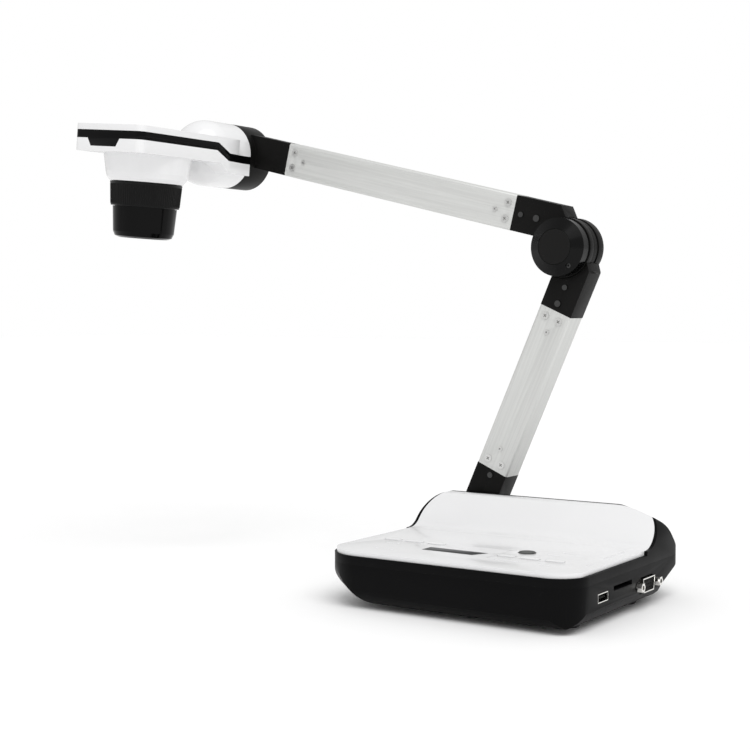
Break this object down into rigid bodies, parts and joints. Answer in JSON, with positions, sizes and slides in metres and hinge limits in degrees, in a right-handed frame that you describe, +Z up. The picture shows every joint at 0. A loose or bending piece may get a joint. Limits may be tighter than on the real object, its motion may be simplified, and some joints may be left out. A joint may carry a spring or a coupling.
{
  "type": "document camera",
  "caption": "Desktop document camera: weighted base with control panel and side ports, two-link folding arm, tilting camera head with a ribbed focus ring.",
  "frame": {"origin": "on the table, under the middle of the whole object's box as it stands, arm in its rest pose", "axes": "+Z up, -Y towards the user, +X to the user's right"},
  "size_m": [0.3667, 0.1504, 0.2998],
  "materials": {
    "black_casing": "fine spark texture",
    "white_panel": "gloss",
    "white_key": "satin",
    "dark_button": "satin",
    "display_black": "gloss smoked window",
    "circuit_board": "solder mask",
    "plated_steel": "zinc plated",
    "screw_steel": "satin",
    "black_screw": "black oxide",
    "foot_rubber": "matte",
    "port_chrome": "bright",
    "port_plastic": "matte",
    "arm_aluminium": "satin anodised",
    "arm_black": "satin",
    "ring_black": "polished",
    "cap_grey": "dull",
    "head_white": "gloss",
    "trim_black": "high gloss",
    "lamp_lens": "clear",
    "sensor_ceramic": "smooth",
    "head_metal": "cast",
    "ring_rubber": "ribbed",
    "barrel_black": "gloss",
    "lens_glass": "coated"
  },
  "bodies": {
    "base": {"bottom_casing": "black_casing", "top_panel": "white_panel", "upper_casing": "black_casing", "display_window": "display_black", "control_board": "circuit_board", "ballast_plate": "plated_steel", "main_board": "circuit_board", "casing_screws": "screw_steel", "foot_front_left": "foot_rubber", "foot_back_left": "foot_rubber", "foot_front_right": "foot_rubber", "foot_back_right": "foot_rubber", "monitor_port_shell": "port_chrome", "monitor_port_insert": "port_plastic", "jackscrews": "port_chrome", "video_port_shell": "port_chrome", "video_port_tongue": "port_plastic", "card_slot": "port_plastic", "power_jack": "port_plastic", "arm_bracket": "plated_steel", "bracket_screws": "screw_steel", "shoulder_pin": "plated_steel", "shoulder_washers": "plated_steel"},
    "lower_arm": {"lower_tube": "arm_aluminium", "lower_tube_screws": "screw_steel", "lower_fork": "arm_black", "fork_screw": "black_screw", "lower_elbow_block": "arm_black", "lower_block_screws": "black_screw"},
    "upper_arm": {"upper_tube": "arm_aluminium", "upper_tube_screws": "screw_steel", "upper_elbow_block": "arm_black", "upper_block_screws": "black_screw", "elbow_ring": "ring_black", "elbow_cap": "cap_grey", "elbow_set_screw": "black_screw", "elbow_pin": "plated_steel", "elbow_washers": "plated_steel", "head_knuckle": "arm_black"},
    "camera_head": {"head_upper_shell": "head_white", "head_lower_shell": "head_white", "trim_strip": "trim_black", "lamp_board": "circuit_board", "lamps": "lamp_lens", "head_screws": "screw_steel", "sensor_board": "circuit_board", "image_sensor": "sensor_ceramic", "head_hub": "head_metal", "head_pin": "plated_steel", "lens_housing": "head_white", "lens_barrel": "barrel_black", "front_lens": "lens_glass"},
    "focus_ring": {"focus_ring": "ring_rubber"},
    "round_button": {"round_button": "dark_button"},
    "left_key_1": {"left_key_1": "white_key"},
    "left_key_2": {"left_key_2": "white_key"},
    "left_key_3": {"left_key_3": "white_key"},
    "right_key_1": {"right_key_1": "white_key"},
    "right_key_2": {"right_key_2": "white_key"},
    "right_key_3": {"right_key_3": "white_key"}
  },
  "joints": [
    {"name": "shoulder_fold", "type": "hinge", "parent": "base", "child": "lower_arm", "pos_m": [0.0468, 0.0633, 0.041], "axis": [0, 1, 0], "range_deg": [-24, 40]},
    {"name": "elbow_fold", "type": "hinge", "parent": "lower_arm", "child": "upper_arm", "pos_m": [0.10769, 0.0633, 0.20726], "axis": [0, 1, 0], "range_deg": [-45, 90]},
    {"name": "head_tilt", "type": "hinge", "parent": "upper_arm", "child": "camera_head", "pos_m": [-0.15274, 0.0633, 0.27727], "axis": [0, 1, 0], "range_deg": [-90, 90]},
    {"name": "focus_turn", "type": "hinge", "parent": "camera_head", "child": "focus_ring", "pos_m": [-0.15643, -0.0302, 0.23745], "axis": [-0.0924, 0, -0.9957], "range_deg": [-60, 60]},
    {"name": "round_button_press", "type": "slide", "parent": "base", "child": "round_button", "axis": [0, 0, -1], "range_m": [0, 0.0008], "stiffness_N_per_m": 900, "springref_m": -0.0004},
    {"name": "left_key_1_press", "type": "slide", "parent": "base", "child": "left_key_1", "axis": [0, 0, -1], "range_m": [0, 0.0006], "stiffness_N_per_m": 900, "springref_m": -0.0004},
    {"name": "left_key_2_press", "type": "slide", "parent": "base", "child": "left_key_2", "axis": [0, 0, -1], "range_m": [0, 0.0006], "stiffness_N_per_m": 900, "springref_m": -0.0004},
    {"name": "left_key_3_press", "type": "slide", "parent": "base", "child": "left_key_3", "axis": [0, 0, -1], "range_m": [0, 0.0006], "stiffness_N_per_m": 900, "springref_m": -0.0004},
    {"name": "right_key_1_press", "type": "slide", "parent": "base", "child": "right_key_1", "axis": [0, 0, -1], "range_m": [0, 0.0006], "stiffness_N_per_m": 900, "springref_m": -0.0004},
    {"name": "right_key_2_press", "type": "slide", "parent": "base", "child": "right_key_2", "axis": [0, 0, -1], "range_m": [0, 0.0006], "stiffness_N_per_m": 900, "springref_m": -0.0004},
    {"name": "right_key_3_press", "type": "slide", "parent": "base", "child": "right_key_3", "axis": [0, 0, -1], "range_m": [0, 0.0006], "stiffness_N_per_m": 900, "springref_m": -0.0004}
  ]
}
